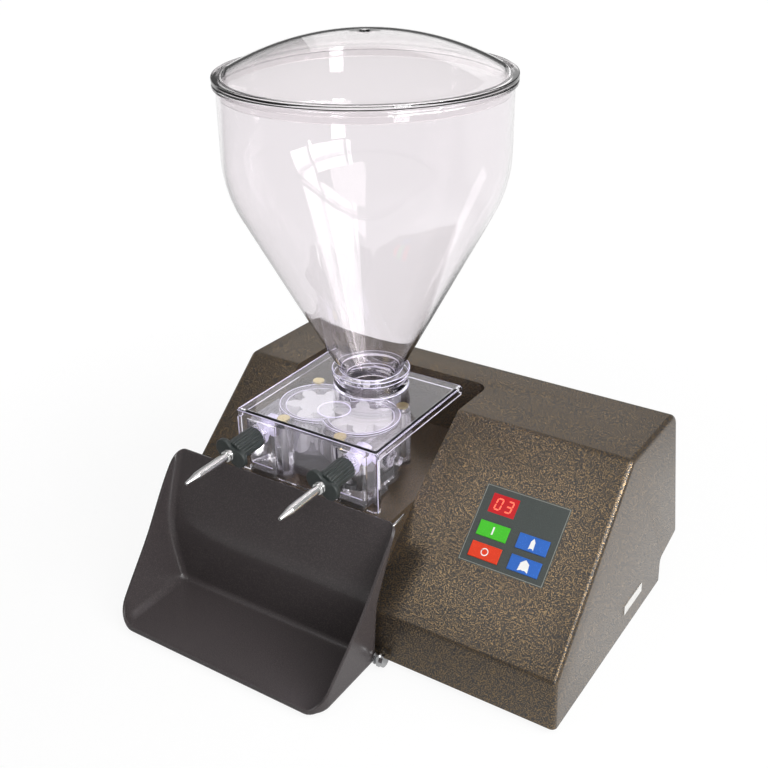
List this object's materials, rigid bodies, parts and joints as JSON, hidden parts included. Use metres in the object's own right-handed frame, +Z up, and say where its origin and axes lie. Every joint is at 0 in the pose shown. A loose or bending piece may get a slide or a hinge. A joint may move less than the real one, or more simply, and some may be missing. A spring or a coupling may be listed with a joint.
{
  "type": "donut filler",
  "caption": "Bench donut filler with a clear funnel hopper and lid, a gear pump under a clear cover, filling nozzles, a scoop tray and a sloped control pod with keys and a display.",
  "frame": {"origin": "on the counter, under the middle of the machine's bounding box", "axes": "+Z up; the machine's front, with its tray and nozzles, faces -Y; the control pod is on the +X side"},
  "size_m": [0.508, 0.4458, 0.6178],
  "materials": {
    "housing": "textured dark bronze",
    "steel_plate": "dark sheet",
    "rubber": "matt",
    "panel": "satin membrane",
    "display": "red window",
    "key_green": "green key",
    "key_red": "orange red key",
    "key_blue": "blue key",
    "board": "circuit board",
    "blank": "pale plate",
    "black_plastic": "black",
    "clear": "clear plastic",
    "gear_white": "white engineering plastic",
    "brass": "pale brass",
    "steel": "stainless",
    "chrome": "bright",
    "tray": "smooth dark brown",
    "motor_grey": "grey"
  },
  "bodies": {
    "base": {"housing_cover": "housing", "base_plate": "steel_plate", "foot_front_left": "rubber", "foot_front_right": "rubber", "foot_back_left": "rubber", "foot_back_right": "rubber", "control_panel": "panel", "display_window": "display", "circuit_board": "board", "blank_plate": "blank", "mains_inlet": "black_plastic", "pump_body": "clear", "pump_lid": "clear", "lid_screw_1": "brass", "lid_screw_2": "brass", "lid_screw_3": "brass", "lid_screw_4": "brass", "shaft_seal": "rubber", "idler_pin": "steel", "side_plug": "clear", "stud_lug_left": "steel", "stud_lug_right": "steel", "tray_stud_left": "chrome", "tray_stud_right": "chrome", "motor_bracket": "steel_plate", "gearbox": "motor_grey", "motor": "motor_grey", "power_supply": "steel_plate"},
    "drive_rotor": {"drive_gear": "gear_white", "drive_shaft": "steel"},
    "driven_rotor": {"driven_gear": "gear_white"},
    "cover": {"clear_cover": "clear"},
    "hopper": {"hopper": "clear"},
    "hopper_lid": {"hopper_lid": "clear"},
    "tray": {"drip_tray": "tray", "tray_hanger": "steel"},
    "nozzle_left": {"nozzle_left": "steel", "nozzle_nut_left": "black_plastic"},
    "nozzle_right": {"nozzle_right": "steel", "nozzle_nut_right": "black_plastic"},
    "start_button": {"start_button": "key_green"},
    "stop_button": {"stop_button": "key_red"},
    "small_fill_button": {"small_fill_button": "key_blue"},
    "large_fill_button": {"large_fill_button": "key_blue"}
  },
  "joints": [
    {"name": "cover_lift", "type": "slide", "parent": "base", "child": "cover", "axis": [0, 0, 1], "range_m": [0, 0.085]},
    {"name": "hopper_lift", "type": "slide", "parent": "cover", "child": "hopper", "axis": [0, 0, 1], "range_m": [0, 0.06]},
    {"name": "lid_lift", "type": "slide", "parent": "hopper", "child": "hopper_lid", "axis": [0, 0, 1], "range_m": [0, 0.06]},
    {"name": "drive_spin", "type": "hinge", "parent": "base", "child": "drive_rotor", "pos_m": [-0.045, 0.00125, 0.195], "axis": [0, 0, 1], "continuous": true},
    {"name": "driven_spin", "type": "hinge", "parent": "base", "child": "driven_rotor", "pos_m": [-0.103, 0.00125, 0.195], "axis": [0, 0, 1], "continuous": true},
    {"name": "nozzle_left_turn", "type": "hinge", "parent": "base", "child": "nozzle_left", "pos_m": [-0.134, -0.09775, 0.203], "axis": [0, -1, 0], "range_deg": [0, 360]},
    {"name": "nozzle_right_turn", "type": "hinge", "parent": "base", "child": "nozzle_right", "pos_m": [-0.014, -0.09775, 0.203], "axis": [0, -1, 0], "range_deg": [0, 360]},
    {"name": "tray_slide", "type": "slide", "parent": "base", "child": "tray", "axis": [0, -1, 0], "range_m": [0, 0.16]},
    {"name": "start_button_press", "type": "slide", "parent": "base", "child": "start_button", "axis": [0, 0.6722, -0.7403], "range_m": [0, 0.0006], "stiffness_N_per_m": 400},
    {"name": "stop_button_press", "type": "slide", "parent": "base", "child": "stop_button", "axis": [0, 0.6722, -0.7403], "range_m": [0, 0.0006], "stiffness_N_per_m": 400},
    {"name": "small_fill_button_press", "type": "slide", "parent": "base", "child": "small_fill_button", "axis": [0, 0.6722, -0.7403], "range_m": [0, 0.0006], "stiffness_N_per_m": 400},
    {"name": "large_fill_button_press", "type": "slide", "parent": "base", "child": "large_fill_button", "axis": [0, 0.6722, -0.7403], "range_m": [0, 0.0006], "stiffness_N_per_m": 400}
  ],
  "couplings": [
    {"joint": "driven_spin", "follows": "drive_spin", "ratio": -1}
  ]
}
